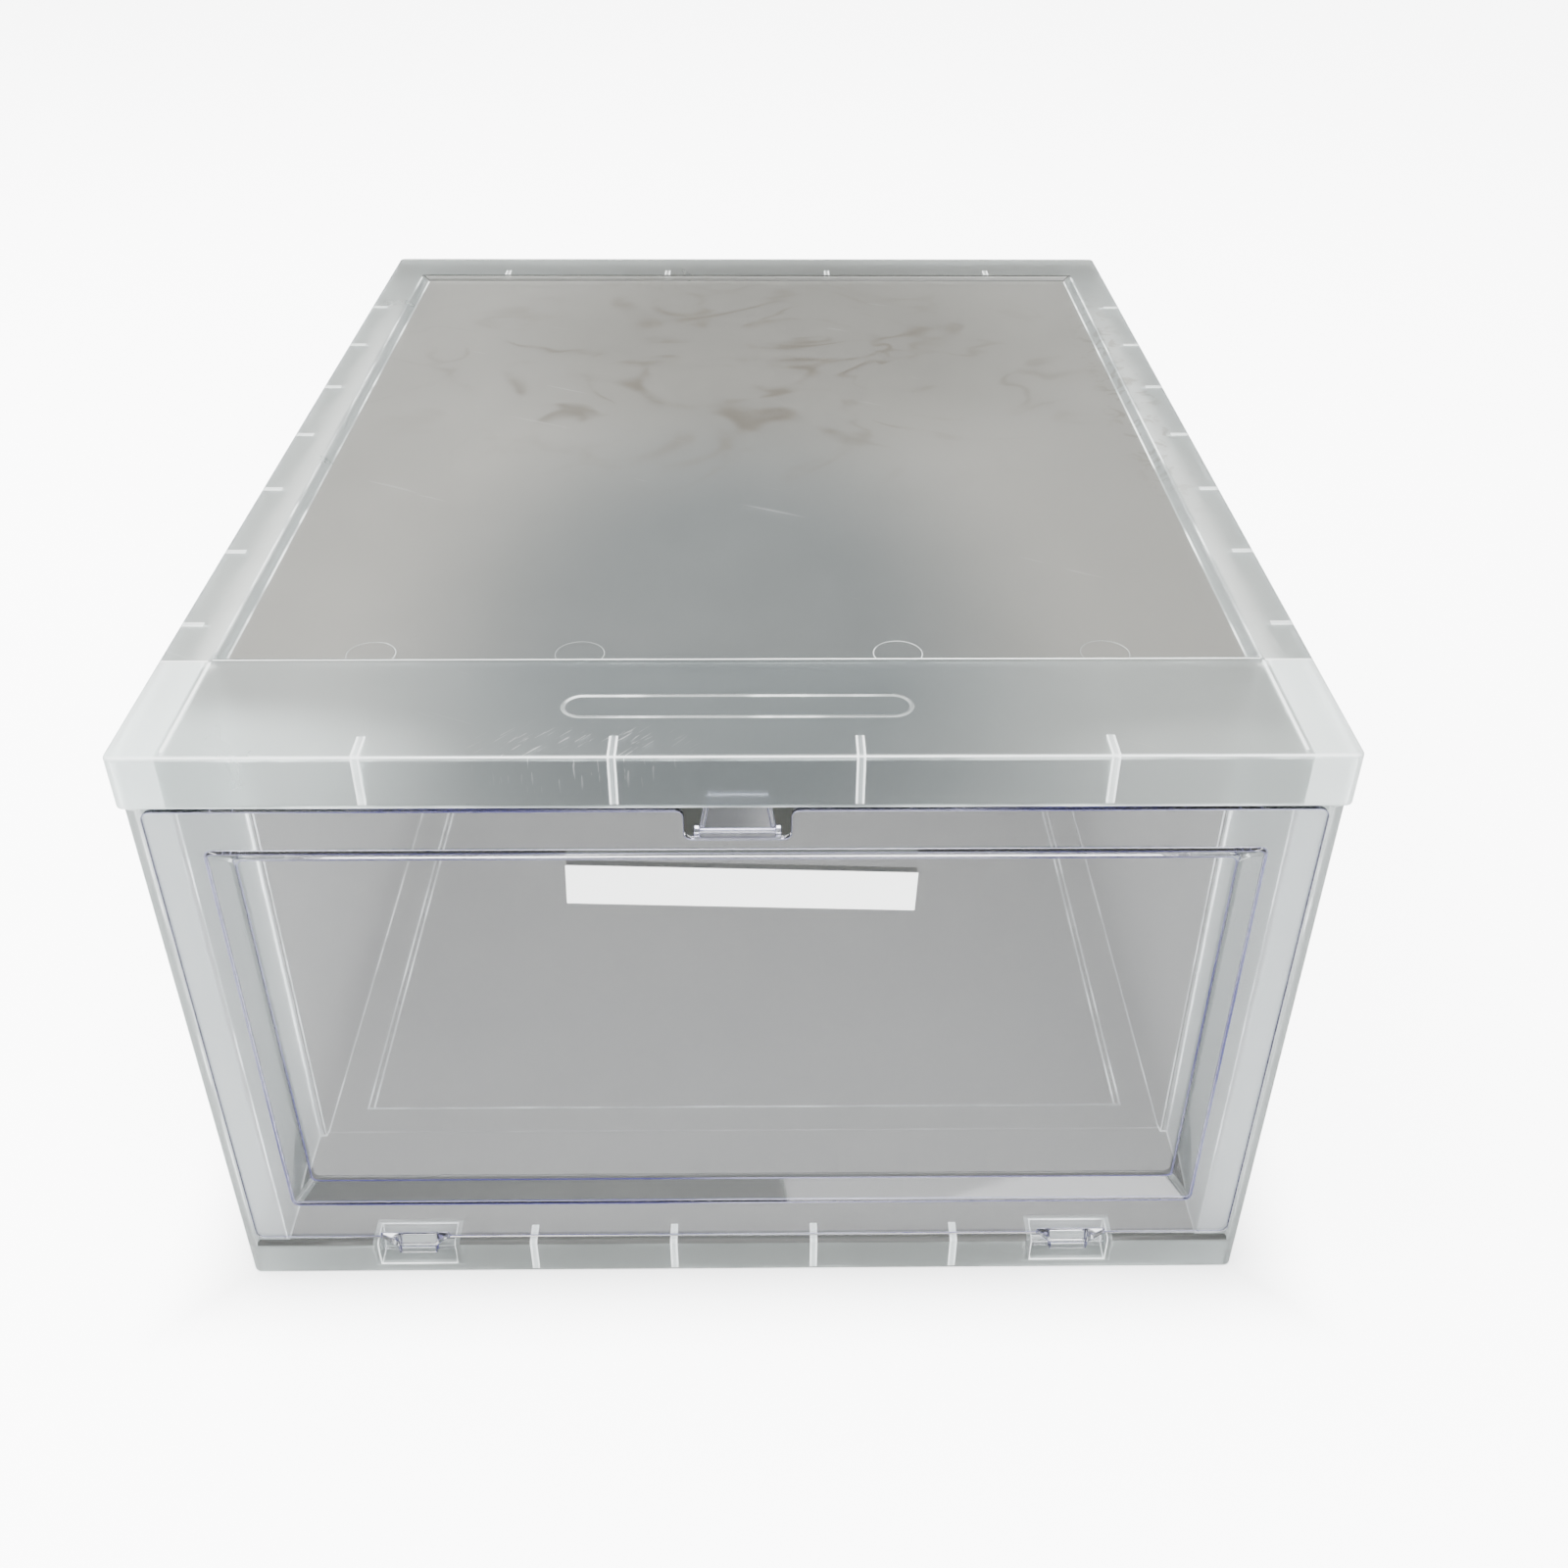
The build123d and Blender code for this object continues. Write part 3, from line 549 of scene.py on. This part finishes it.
# ================================================================ mesh helpers
def mirrored(x0, x1, y0, y1, z0, z1):
    """Two boxes, one each side of the middle: each is its lowest and highest corner."""
    return [(Vector((x0, y0, z0)), Vector((x1, y1, z1))),
            (Vector((-x1, y0, z0)), Vector((-x0, y1, z1)))]


def fin_mark(x0, x1, y0, y1, z0, z1, across):
    """The boxes of a fin's mark and of its mirror: a soft strip with a milky line each side."""
    marks = [(SOFT, box) for box in mirrored(x0, x1, y0, y1, z0, z1)]
    for low, high in ((0.0, FIN_LINE), (FIN_MARK - FIN_LINE, FIN_MARK)):
        if across:
            marks += [(BAND, box) for box in mirrored(x0 + low, x0 + high, y0, y1, z0, z1)]
        else:
            marks += [(BAND, box) for box in mirrored(x0, x1, y0 + low, y0 + high, z0, z1)]
    return marks


def skirt_fins(places, run, front, z0, z1):
    """The marks of the fins behind a front skirt."""
    marks = []
    for x in places:
        low = x * MM - FIN_MARK / 2
        marks += fin_mark(low, low + FIN_MARK, front - MM, front + run, z0, z1, True)
    return marks


def side_fins(out, z0, z1):
    """The marks of the fins inside the side skirts."""
    marks = []
    for depth in SIDE_FIN_DEPTHS:
        low = FRONT + depth * MM - FIN_MARK / 2
        marks += fin_mark(out - SIDE_FIN_RUN, out + MM, low, low + FIN_MARK, z0, z1, False)
    return marks


def lid_bands():
    """Painted light on the lid: milky lines and paler strips over its fins, milky lines over the
    posts' walls, painted highlight lines along the strongest edges, and paler front corners over
    the posts.
    """
    low, high = LID_LOW.z + FIN_SHORT, LID_HIGH.z
    rear, web, side = LID_HIGH.y - RIM_BACK, FRONT + STRIP - WEB_WALL, LID_HIGH.x + MM
    # painted light over the front corners, above the posts
    marks = [(SOFT, box) for box in mirrored(POST_INSIDE + WEB_WALL, side, FRONT - MM, web,
                                             LID_LOW.z, high)]
    marks += skirt_fins(HEADER_FINS, HEADER_FIN_RUN, FRONT, low, high)
    marks += side_fins(LID_HIGH.x, low, high)
    for x in BACK_FINS:
        middle = x * MM - FIN_MARK / 2
        marks += fin_mark(middle, middle + FIN_MARK, rear + MM / 2, rear + BACK_FIN_RUN,
                          PANEL_TOP - MM, high, True)
    # painted light lines over the posts' walls
    boxes = mirrored(POST_INSIDE + MM, LID_HIGH.x - MM / 2, web, web + WEB_WALL / 2,
                     PANEL_TOP, high)
    boxes += mirrored(POST_INSIDE, POST_INSIDE + WEB_WALL / 2, FRONT + 2 * MM, web, PANEL_TOP, high)
    # painted highlight lines along the lid's front top edge and the front strip's rear edge
    boxes += mirrored(0.0, side, FRONT - MM, FRONT + EDGE_LINE, RIM_TOP - EDGE_LINE, high)
    boxes += mirrored(0.0, POST_INSIDE, FRONT + STRIP - 1.6 * EDGE_LINE, FRONT + STRIP + MM / 2,
                      PANEL_TOP + MM / 2, high)
    return marks + [(BAND, box) for box in boxes]


def base_bands():
    """Painted shade on the walls seen inside the box, the hinge pockets in the sill kept plain, and
    painted light over the fins behind the skirt.
    """
    low, high = FIN_SHORT, SILL_TOP + MM
    # painted shade: the walls seen inside get the darker inside colour
    marks = [(BROAD, WALL_BOX)]
    marks += [(MAIN, box) for box in mirrored(POCKET_OUT - POCKET_HALF, POCKET_OUT + POCKET_HALF,
                                              FRONT - MM, FRONT + POCKET_DEPTH, MM, high)]
    marks += skirt_fins(SILL_FINS, SILL_FIN_RUN, BASE_LOW.y, low, high)
    return marks + side_fins(BASE_HIGH.x, low, high)


def near(face, low, high):
    """True if a face's own box meets the box from low to high."""
    for axis in range(3):
        values = [corner.co[axis] for corner in face.verts]
        if max(values) < low[axis] or min(values) > high[axis]:
            return False
    return True


def inside(point, low, high):
    """True for a point in the box from low to high."""
    return all(low[axis] <= point[axis] <= high[axis] for axis in range(3))


def paint_band(made, low, high, index):
    """Cuts the faces near a box along the box's sides, and gives a material to the faces in it."""
    for axis in range(3):
        for corner in (low, high):
            faces = [f for f in made.faces if near(f, low, high)]
            edges = {e for f in faces for e in f.edges}
            verts = {v for f in faces for v in f.verts}
            across = Vector((0.0, 0.0, 0.0))
            across[axis] = 1.0
            bmesh.ops.bisect_plane(made, geom=[*faces, *edges, *verts], dist=MERGE,
                                   plane_co=corner, plane_no=across)
    for face in made.faces:
        if inside(face.calc_center_median(), low, high):
            face.material_index = index


def width(face):
    """How wide a face is across its longest side."""
    return face.calc_area() / max(edge.calc_length() for edge in face.edges)


def moulding(node, name, body, materials, edge_round, bands=(), broad=None, thin=0.0):
    """A moulded piece: the CAD node's shape as one closed mesh with rounded edges.

    The materials are in the order MAIN, EDGE, BAND, BROAD, SOFT. Bands are boxes that cut out
    places with a material of their own, and faces in the box broad get BROAD. The edges of a face
    narrower than thin stay sharp."""
    made = bmesh.new()
    made.from_mesh(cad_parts[node].data)
    bmesh.ops.remove_doubles(made, verts=made.verts, dist=MERGE)
    bmesh.ops.dissolve_limit(made, angle_limit=FLAT, verts=made.verts, edges=made.edges)
    for face in made.faces:
        is_broad = broad and inside(face.calc_center_median(), *broad)
        face.material_index = BROAD if is_broad else MAIN
    for index, (low, high) in bands:
        paint_band(made, low, high, index)
    sharp = [e for e in made.edges if e.is_manifold and e.calc_face_angle() > SHARP
             and min(width(f) for f in e.link_faces) > thin]
    bmesh.ops.bevel(made, geom=sharp, offset=edge_round, offset_type="OFFSET", segments=2,
                    profile=0.5, affect="EDGES", clamp_overlap=False, material=EDGE)
    lowest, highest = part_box(node)
    for vert in made.verts:
        vert.co = [min(max(vert.co[axis], lowest[axis]), highest[axis]) for axis in range(3)]
    mesh = bpy.data.meshes.new(name)
    made.to_mesh(mesh)
    made.free()
    for material in materials:
        mesh.materials.append(material)
    piece = shaded(mesh, name)
    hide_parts(node)
    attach(piece, body)
    return piece


def linked(mesh, name):
    """A new object for a mesh."""
    piece = bpy.data.objects.new(name, mesh)
    bpy.context.scene.collection.objects.link(piece)
    return piece


def plain(piece):
    """Turns an object with its modifiers into one with a plain mesh."""
    graph = bpy.context.evaluated_depsgraph_get()
    mesh = bpy.data.meshes.new_from_object(piece.evaluated_get(graph))
    mesh.name = piece.name
    piece.modifiers.clear()
    piece.data = mesh
    return piece


def shaded(mesh, name):
    """An object that shades smoothly over its rounded edges, with its flat faces kept flat."""
    mesh.shade_smooth()
    mesh.set_sharp_from_angle(angle=SMOOTH)
    piece = linked(mesh, name)
    weighted = piece.modifiers.new("Weighted", "WEIGHTED_NORMAL")
    weighted.mode = "FACE_AREA"
    weighted.weight = 100
    weighted.keep_sharp = True
    return plain(piece)


# ================================================================ ejector rings
def ring_tree(material):
    """Geometry nodes that set a thin raised ring on every vertex."""
    tree = bpy.data.node_groups.new("Ejector Rings", "GeometryNodeTree")
    sockets = tree.interface
    sockets.new_socket("Geometry", in_out="INPUT", socket_type="NodeSocketGeometry")
    for label in ("Radius", "Line", "Rise"):
        sockets.new_socket(label, in_out="INPUT", socket_type="NodeSocketFloat")
    sockets.new_socket("Geometry", in_out="OUTPUT", socket_type="NodeSocketGeometry")
    given = tree.nodes.new("NodeGroupInput").outputs
    result = tree.nodes.new("NodeGroupOutput").inputs
    path = add(tree, "GeometryNodeCurvePrimitiveCircle",
               {"Resolution": RING_CORNERS, "Radius": given["Radius"]})
    section = add(tree, "GeometryNodeCurvePrimitiveQuadrilateral",
                  {"Width": given["Line"], "Height": given["Rise"]})
    swept = add(tree, "GeometryNodeCurveToMesh",
                {"Curve": path.outputs[0], "Profile Curve": section.outputs[0]})
    points = add(tree, "GeometryNodeMeshToPoints", {"Mesh": given["Geometry"]})
    copies = add(tree, "GeometryNodeInstanceOnPoints",
                 {"Points": points.outputs[0], "Instance": swept.outputs[0]})
    real = add(tree, "GeometryNodeRealizeInstances", {"Geometry": copies.outputs[0]})
    painted = add(tree, "GeometryNodeSetMaterial",
                  {"Geometry": real.outputs[0], "Material": material})
    tree.links.new(painted.outputs[0], result["Geometry"])
    return tree


def ejector_rings(name, places, material):
    """Rings left by the mould's ejector pins, at these places on the box."""
    sizes = bpy.context.scene.shoe_box_sizes
    mesh = bpy.data.meshes.new(name)
    mesh.from_pydata(places, [], [])
    piece = linked(mesh, name)
    tree = ring_tree(material)
    modifier = piece.modifiers.new("Rings", "NODES")
    modifier.node_group = tree
    # half of the section's height is under the panel's surface
    values = {"Radius": sizes.ring_diameter / 2, "Line": sizes.ring_line,
              "Rise": 2 * sizes.ring_rise}
    for item in tree.interface.items_tree:
        if item.in_out == "INPUT" and item.name in values:
            modifier[item.identifier] = values[item.name]
    plain(piece)
    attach(piece, "shell")
    return piece


# ================================================================ operators
class SHOEBOX_OT_effects(bpy.types.Operator):
    """Make the shader effects that the materials share."""

    bl_idname = "shoebox.effects"
    bl_label = "Shared Effects"

    def execute(self, context):
        make_grain_group()
        make_haze_group()
        make_spot_group()
        make_watermark_group()
        make_scuff_group()
        return {"FINISHED"}


class SHOEBOX_OT_shell(bpy.types.Operator):
    """Make the frosted base and lid."""

    bl_idname = "shoebox.shell"
    bl_label = "Base and Lid"

    def execute(self, context):
        sizes = context.scene.shoe_box_sizes
        colours = context.scene.shoe_box_colours
        frosted, pale = colours.frosted, colours.edge
        # the body has a painted shade at the sill's middle; the inside and the lid's panel are
        # darker, a painted shade; the band and soft materials are painted light; the lid and its
        # panel carry painted shade and painted light besides their dirt
        body = frosted_material("frosted_body", frosted, BODY_HAZE, 0.32, 0.84, BASE_PAINTED_SHADE)
        floor = frosted_material("frosted_inside_painted_shade", colours.inner, INNER_HAZE, 0.40, 0.55)
        rims = frosted_material("frosted_lid", frosted, BODY_HAZE, 0.30, 0.88, LID_PAINTED_LIGHT_AND_SHADE,
                                dirt=True)
        panel = frosted_material("frosted_panel_painted_shade", colours.broad, PANEL_HAZE, 0.36, 0.84,
                                 LID_PAINTED_LIGHT_AND_SHADE, dirt=True)
        edge = frosted_edge_material("frosted_edge", frosted, pale)
        band = frosted_material("frosted_band_painted_light", pale, BAND_HAZE, 0.35, 0.45)
        soft = frosted_material("frosted_soft_painted_light", SOFT_TONE, SOFT_HAZE, 0.34, 0.66, LID_PAINTED_LIGHT_AND_SHADE)
        moulding("base", "base_shell", "shell", [body, edge, band, floor, soft],
                 sizes.edge_round, base_bands(), FLOOR_BOX, THIN)
        moulding("lid", "lid_shell", "shell", [rims, edge, band, panel, soft],
                 sizes.edge_round, lid_bands(), PANEL_BOX)
        return {"FINISHED"}


class SHOEBOX_OT_rings(bpy.types.Operator):
    """Make the ejector rings on the lid's panel."""

    bl_idname = "shoebox.rings"
    bl_label = "Ejector Rings"

    def execute(self, context):
        edge = bpy.data.materials["frosted_edge"]
        places = [(x * MM, RING_DEPTH, PANEL_TOP) for x in RING_PLACES]
        ejector_rings("lid_ejector_rings", places, edge)
        return {"FINISHED"}


class SHOEBOX_OT_door(bpy.types.Operator):
    """Make the clear door."""

    bl_idname = "shoebox.door"
    bl_label = "Door"

    def execute(self, context):
        colours = context.scene.shoe_box_colours
        clear = clear_material("clear_door", colours.clear, 0.03)
        edge = clear_edge_material("clear_edge", colours.clear_edge, CLEAR_EDGE_PALE)
        moulding("door", "door_panel", "door", [clear, edge], DOOR_ROUND)
        return {"FINISHED"}


class SHOEBOX_OT_latch(bpy.types.Operator):
    """Make the springy latch tongue."""

    bl_idname = "shoebox.latch"
    bl_label = "Latch Tongue"

    def execute(self, context):
        clear = clear_material("clear_latch", LATCH_TONE, 0.08)
        edge = bpy.data.materials["clear_edge"]
        moulding("latch_tongue", "latch_strip", "latch", [clear, edge], LATCH_ROUND)
        return {"FINISHED"}


class SHOEBOX_OT_label(bpy.types.Operator):
    """Make the blank paper label."""

    bl_idname = "shoebox.label"
    bl_label = "Label"

    def execute(self, context):
        paper = paper_material("label_paper", context.scene.shoe_box_colours.paper)
        moulding("label", "label_sticker", "door", [paper, paper], LABEL_ROUND)
        return {"FINISHED"}


class SHOEBOX_OT_stage(bpy.types.Operator):
    """Make the floor, the lights and the camera."""

    bl_idname = "shoebox.stage"
    bl_label = "Stage"

    def execute(self, context):
        make_floor()
        make_world()
        make_lights()
        make_camera()
        return {"FINISHED"}


# ================================================================ stage
def mirrored_share(tree):
    """What is left of the light of floor and surround where a piece mirrors them."""
    path = add(tree, "ShaderNodeLightPath")
    mirror = maths(tree, "MULTIPLY", path.outputs["Is Glossy Ray"],
                   path.outputs["Is Reflection Ray"])
    return maths(tree, "SUBTRACT", 1.0, maths(tree, "MULTIPLY", mirror, 1.0 - MIRROR_LEFT))


def make_floor():
    """A plain pale floor, just under the box, lit and glowing all round it, with a painted shadow
    that makes it dim beneath the box.
    """
    mesh = bpy.data.meshes.new("floor")
    sides = ((-1, -1), (1, -1), (1, 1), (-1, 1))
    corners = [(x * FLOOR_HALF, y * FLOOR_HALF, -FLOOR_BELOW) for x, y in sides]
    mesh.from_pydata(corners, [], [(0, 1, 2, 3)])
    material, tree = new_material("floor_paper")
    where = placed(tree)
    tone = mixed(tree, noise(tree, where, 3.0), (0.88, 0.88, 0.88, 1.0), (0.90, 0.90, 0.90, 1.0))
    tone = mixed(tree, mirrored_share(tree), BLACK, tone)
    shade = add(tree, "ShaderNodeBsdfDiffuse", {"Color": tone})
    part = add(tree, "ShaderNodeSeparateXYZ", {"Vector": where})
    beside = maths(tree, "SUBTRACT", maths(tree, "ABSOLUTE", part.outputs["X"]), BASE_HIGH.x)
    beyond = maths(tree, "SUBTRACT", maths(tree, "ABSOLUTE", part.outputs["Y"]), BASE_HIGH.y)
    # painted shadow: the glow is dim under the box and comes back over a band around its outline
    away = ramp(tree, maths(tree, "MAXIMUM", beside, beyond), -FLOOR_SHADE_IN, FLOOR_SHADE_OUT)
    path = add(tree, "ShaderNodeLightPath")
    away = maths(tree, "MAXIMUM", away, FLOOR_LEAST)
    seen = maths(tree, "MULTIPLY", path.outputs["Is Camera Ray"], FLOOR_GLOW)
    through = maths(tree, "MULTIPLY", path.outputs["Is Transmission Ray"], FLOOR_FILL)
    strength = maths(tree, "MULTIPLY", maths(tree, "MAXIMUM", seen, through), away)
    glow = add(tree, "ShaderNodeEmission", {"Color": WHITE, "Strength": strength})
    both = add(tree, "ShaderNodeAddShader", {0: shade.outputs[0], 1: glow.outputs[0]})
    output = add(tree, "ShaderNodeOutputMaterial")
    tree.links.new(both.outputs[0], output.inputs["Surface"])
    mesh.materials.append(material)
    linked(mesh, "floor")


def make_world():
    """A pale surround, dimmer behind the box than in front of it."""
    world = bpy.data.worlds.new("studio")
    world.use_nodes = True
    tree = world.node_tree
    way = add(tree, "ShaderNodeTexCoord").outputs["Generated"]
    part = add(tree, "ShaderNodeSeparateXYZ", {"Vector": way})
    ahead = ramp(tree, part.outputs["Y"], 0.8, -0.3)
    gain = maths(tree, "MULTIPLY", ahead, WORLD_FRONT - WORLD_BEHIND)
    background = tree.nodes["Background"]
    background.inputs["Color"].default_value = (0.96, 0.98, 1.0, 1.0)
    level = maths(tree, "MULTIPLY", maths(tree, "ADD", gain, WORLD_BEHIND), mirrored_share(tree))
    path = add(tree, "ShaderNodeLightPath")
    seen = maths(tree, "MULTIPLY", path.outputs["Is Camera Ray"], FLOOR_GLOW)
    tree.links.new(maths(tree, "MAXIMUM", level, seen), background.inputs["Strength"])
    bpy.context.scene.world = world


def make_lights():
    """Large soft lamps that point at the box."""
    target = Vector((0.0, 0.0, LID_HIGH.z / 2))
    for name, place, size, power, colour in LAMPS:
        lamp = bpy.data.lights.new(name, "AREA")
        lamp.shape = "RECTANGLE"
        lamp.size, lamp.size_y = size
        lamp.energy = power
        lamp.color = colour
        light = bpy.data.objects.new(name, lamp)
        light.location = place
        light.rotation_euler = (target - Vector(place)).to_track_quat("-Z", "Y").to_euler()
        bpy.context.scene.collection.objects.link(light)


def make_camera():
    """The camera, in front of the box and above it."""
    level = math.cos(CAMERA_DOWN)
    ahead = Vector((math.sin(CAMERA_RIGHT) * level, math.cos(CAMERA_RIGHT) * level,
                    -math.sin(CAMERA_DOWN)))
    right = Vector((math.cos(CAMERA_RIGHT), -math.sin(CAMERA_RIGHT), 0.0))
    down = ahead.cross(right)
    across = math.cos(CAMERA_ROLL) * right + math.sin(CAMERA_ROLL) * down
    up = math.sin(CAMERA_ROLL) * right - math.cos(CAMERA_ROLL) * down
    turn = Matrix((across, up, -ahead)).transposed()
    data = bpy.data.cameras.new("camera")
    data.sensor_width = CAMERA_SENSOR
    data.lens = CAMERA_LENS
    camera = bpy.data.objects.new("camera", data)
    camera.matrix_world = Matrix.Translation(CAMERA_AT) @ turn.to_4x4()
    bpy.context.scene.collection.objects.link(camera)
    bpy.context.scene.camera = camera


# ================================================================ panel and registration
OPERATORS = (
    SHOEBOX_OT_effects, SHOEBOX_OT_shell, SHOEBOX_OT_rings, SHOEBOX_OT_door,
    SHOEBOX_OT_latch, SHOEBOX_OT_label, SHOEBOX_OT_stage,
)


class SHOEBOX_PT_build(bpy.types.Panel):
    """Sizes, colours and the steps that build the shoe box."""

    bl_idname = "SHOEBOX_PT_build"
    bl_label = "Shoe Box"
    bl_space_type = "VIEW_3D"
    bl_region_type = "UI"
    bl_category = "Shoe Box"

    def draw(self, context):
        for settings in (context.scene.shoe_box_sizes, context.scene.shoe_box_colours):
            for name in settings.__annotations__:
                self.layout.prop(settings, name)
        for operator in OPERATORS:
            self.layout.operator(operator.bl_idname)


CLASSES = (ShoeBoxSizes, ShoeBoxColours, *OPERATORS, SHOEBOX_PT_build)


def register():
    """Registers the classes and the scene's settings."""
    for item in CLASSES:
        bpy.utils.register_class(item)
    bpy.types.Scene.shoe_box_sizes = bpy.props.PointerProperty(type=ShoeBoxSizes)
    bpy.types.Scene.shoe_box_colours = bpy.props.PointerProperty(type=ShoeBoxColours)


def unregister():
    """Removes the scene's settings and the classes."""
    del bpy.types.Scene.shoe_box_colours
    del bpy.types.Scene.shoe_box_sizes
    for item in reversed(CLASSES):
        bpy.utils.unregister_class(item)


def main():
    """Builds everything in order."""
    register()
    bpy.ops.shoebox.effects()
    bpy.ops.shoebox.shell()
    bpy.ops.shoebox.rings()
    bpy.ops.shoebox.door()
    bpy.ops.shoebox.latch()
    bpy.ops.shoebox.label()
    bpy.ops.shoebox.stage()


if __name__ == "__main__":
    main()
